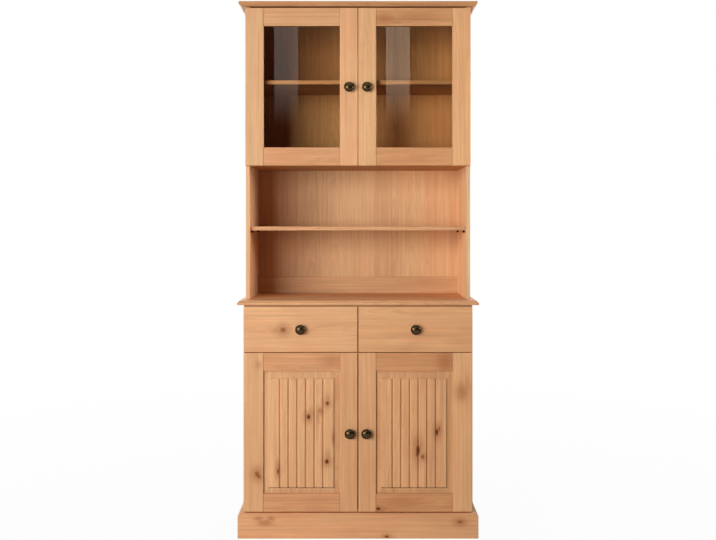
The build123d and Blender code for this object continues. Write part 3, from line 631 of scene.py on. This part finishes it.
def glass():
    """Float glass. Light that falls through it is tinted, and dims where it grazes."""
    material, t = new_material("float_glass")
    smear = t.span(t.noise(t.position(), 9.0, 3.0, 0.6), 0.45, 0.75, 0.0, 0.004)
    body = t.shader("ShaderNodeBsdfPrincipled", Base_Color=GLASS_BODY, Transmission_Weight=1.0,
                    IOR=GLASS_IOR, Roughness=smear)
    let_through = t.blend(t.shader("ShaderNodeFresnel", IOR=GLASS_IOR),
                          t.shader("ShaderNodeBsdfTransparent", Color=GLASS_SHADE),
                          t.shader("ShaderNodeBsdfTransparent", Color=BLACK))
    path = t.node("ShaderNodeLightPath").outputs
    indirect = t.math("GREATER_THAN", path["Diffuse Depth"], 0.5)
    t.finish(t.blend(t.larger(path["Is Shadow Ray"], indirect), body, let_through))
    return material


BEECH, STEEL, GLASS = hardwood(), steel(), glass()
for node in ("drawer_runners", "hutch_dowels"):
    dress(node, BEECH)
for node in ("hinge_arms", "carcass_screws", "joining_plates"):
    dress(node, STEEL)
dress("shelf_pins", bronze(UNWORN_FRONT, "bronze_pins", screwed=False))
BRONZE = {}
for name in nodes:
    if name.endswith("_knob"):
        front = round(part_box(name)[0].y, 4)
        if front not in BRONZE:
            BRONZE[front] = bronze(front, f"bronze_knob_{len(BRONZE)}")
        dress(name, BRONZE[front])
    elif name.endswith("_glass"):
        dress(name, GLASS)
    elif name.endswith("_hinge_cups"):
        dress(name, STEEL)


# ---------------------------------------------------------------- studio
def sheet(name, corners, faces, material):
    """A stage object made of flat faces."""
    mesh = bpy.data.meshes.new(name)
    mesh.from_pydata(corners, [], faces)
    thing = bpy.data.objects.new(name, mesh)
    bpy.context.scene.collection.objects.link(thing)
    mesh.materials.append(material)
    return thing


def emitter(name, color, strength, fade=None):
    """A surface that gives light. With fade it comes on between those two heights."""
    material, t = new_material(name)
    if fade is not None:
        height = t.split(t.position())[2]
        strength = t.mul(t.step(height, *fade), strength)
    t.finish(t.shader("ShaderNodeEmission", Color=color, Strength=strength))
    return material


def only_in_reflections(thing):
    thing.visible_camera = False
    thing.visible_diffuse = False
    thing.visible_transmission = False
    thing.visible_shadow = False


def surroundings_seen(t):
    """1 for the rays that show the white surroundings.

    They are camera rays, and rays that a surface has mirrored or let through, but not
    the second reflection inside a pane.
    """
    path = t.node("ShaderNodeLightPath").outputs
    seen = t.larger(path["Is Camera Ray"], path["Is Glossy Ray"])
    seen = t.larger(seen, path["Is Transmission Ray"])
    mirrored = t.math("GREATER_THAN", path["Glossy Depth"], 0.5)
    seen = t.mul(seen, t.sub(1.0, t.mul(path["Is Transmission Ray"], mirrored)))
    return t.mul(seen, t.math("LESS_THAN", path["Diffuse Depth"], 0.5))


FLOOR_SIZE = 9.0
FLOOR_DARKER, FLOOR_LIGHTER = srgb(196, 188, 178), srgb(204, 196, 187)
WHITE_NEAR, WHITE_FAR = 0.965, 1.0  # share of white near the object and far away
FAR_STARTS, FAR_ENDS = 0.6, 3.4


def floor_material():
    """Pale floor: near white to the camera, and it keeps the object's shadow.

    Far from the object it runs into the white background.
    """
    material, t = new_material("pale_floor")
    position = t.position()
    cloud = t.noise(position, 0.8)
    color = t.mix(cloud, FLOOR_DARKER, FLOOR_LIGHTER)
    x, y, _ = t.split(position)
    far = t.math("SQRT", t.add(t.mul(x, x), t.mul(y, y)))
    share = t.mul(surroundings_seen(t), t.span(far, FAR_STARTS, FAR_ENDS, WHITE_NEAR, WHITE_FAR))
    t.finish(t.blend(share, t.shader("ShaderNodeBsdfDiffuse", Color=color),
                     t.shader("ShaderNodeEmission", Color=WHITE, Strength=1.0)))
    return material


sheet("floor", [(-FLOOR_SIZE, -FLOOR_SIZE, 0), (FLOOR_SIZE, -FLOOR_SIZE, 0),
                (FLOOR_SIZE, FLOOR_SIZE, 0), (-FLOOR_SIZE, FLOOR_SIZE, 0)],
      [(0, 1, 2, 3)], floor_material())

# a dark curved flag round the front, which only gloss and glass reflect
FLAG_RADIUS, FLAG_BOTTOM, FLAG_TOP = 6.2, 0.02, 4.8
FLAG_HALF_ANGLE, FLAG_STEPS = 105, 24
angles = [math.radians(-FLAG_HALF_ANGLE + 2 * FLAG_HALF_ANGLE * i / FLAG_STEPS)
          for i in range(FLAG_STEPS + 1)]
bottom = [(FLAG_RADIUS * math.sin(a), -FLAG_RADIUS * math.cos(a), FLAG_BOTTOM) for a in angles]
top = [(x, y, FLAG_TOP) for x, y, _ in bottom]
count = len(angles)
only_in_reflections(sheet("flag", bottom + top,
                          [(i, i + 1, count + i + 1, count + i) for i in range(FLAG_STEPS)],
                          emitter("dark_flag", srgb(60, 55, 50), 0.5)))

# two tall pale cards that show as bands in the panes and fade out downwards
CARD_Y, CARD_BOTTOM, CARD_TOP, CARD_FADE = -3.42, 1.82, 2.75, (1.86, 2.34)
for name, x0, x1, strength, color in (("card_left", -0.63, -0.45, 1.8, srgb(255, 238, 226)),
                                      ("card_right", 0.21, 0.39, 4.0, srgb(255, 226, 196))):
    corners = [(x0, CARD_Y, CARD_BOTTOM), (x1, CARD_Y, CARD_BOTTOM),
               (x1, CARD_Y, CARD_TOP), (x0, CARD_Y, CARD_TOP)]
    card = sheet(name, corners, [(0, 1, 2, 3)], emitter(name, color, strength, CARD_FADE))
    only_in_reflections(card)


def lamp(name, place, target, size, power, color):
    """An area lamp aimed at a target. Sizes are in metres and power is in watts."""
    light = bpy.data.lights.new(name, "AREA")
    light.shape = "RECTANGLE"
    light.size, light.size_y = size
    light.energy = power
    light.color = color
    thing = bpy.data.objects.new(name, light)
    bpy.context.scene.collection.objects.link(thing)
    thing.location = place
    aim = Vector(target) - Vector(place)
    thing.rotation_euler = aim.to_track_quat("-Z", "Y").to_euler()
    return thing


def around(angle, distance, height):
    """A place at an angle from straight in front, positive to the right."""
    angle = math.radians(angle)
    return (math.sin(angle) * distance, -math.cos(angle) * distance, height)


NEUTRAL, WARM_WHITE = (1.0, 1.0, 1.0), (1.0, 0.97, 0.93)
SIDE_SPREAD = 50
side = lamp("side_fill", around(79, 2.4, 1.6), (0.0, 0.0, 1.4), (0.9, 0.7), 4.5, WARM_WHITE)
side.data.spread = math.radians(SIDE_SPREAD)
lamps = [
    side,
    lamp("key", around(-35, 4.7, 1.62), (0.0, 0.0, 1.15), (3.4, 2.0), 205.0, NEUTRAL),
    lamp("overhead", (0.4, -1.0, 3.6), (0.0, -0.3, 0.0), (2.4, 2.0), 9.0, WARM_WHITE),
    lamp("rear_left", around(-152, 2.8, 1.8), (0.0, 0.0, 1.1), (1.4, 1.8), 42.0, NEUTRAL),
    lamp("rear_right", around(150, 2.8, 1.8), (0.0, 0.0, 1.1), (1.4, 1.8), 34.0, NEUTRAL),
]

# the panes don't mirror the lamps, so they stay clear from every side
unmirrored = bpy.data.collections.new("unmirrored")
for name in nodes:
    if name.endswith("_glass"):
        unmirrored.objects.link(nodes[name])
for light in lamps:
    light.light_linking.receiver_collection = unmirrored
for entry in unmirrored.collection_objects:
    entry.light_linking.link_state = "EXCLUDE"

FILL_COLOR, FILL_STRENGTH = (1.0, 0.91, 0.82, 1.0), 0.025
world = bpy.data.worlds.new("studio")
bpy.context.scene.world = world
world.use_nodes = True
world.node_tree.nodes.clear()
w = Tree(world.node_tree)
fill = w.shader("ShaderNodeBackground", Color=FILL_COLOR, Strength=FILL_STRENGTH)
white = w.shader("ShaderNodeBackground", Color=WHITE, Strength=1.0)
w.finish(w.blend(surroundings_seen(w), fill, white), "ShaderNodeOutputWorld")

# ---------------------------------------------------------------- camera
# place, lens and shift were fitted to the straight edges of the cabinet
camera_data = bpy.data.cameras.new("camera")
camera_data.sensor_fit = "HORIZONTAL"
camera_data.sensor_width = 36.0
camera_data.lens = 44.34
camera_data.shift_y = -0.0628
camera = bpy.data.objects.new("camera", camera_data)
bpy.context.scene.collection.objects.link(camera)
camera.location = (0.0, -3.4356, 1.1586)
camera.rotation_euler = (math.radians(90), 0.0, 0.0)
bpy.context.scene.camera = camera
bpy.context.scene.view_settings.view_transform = "Standard"
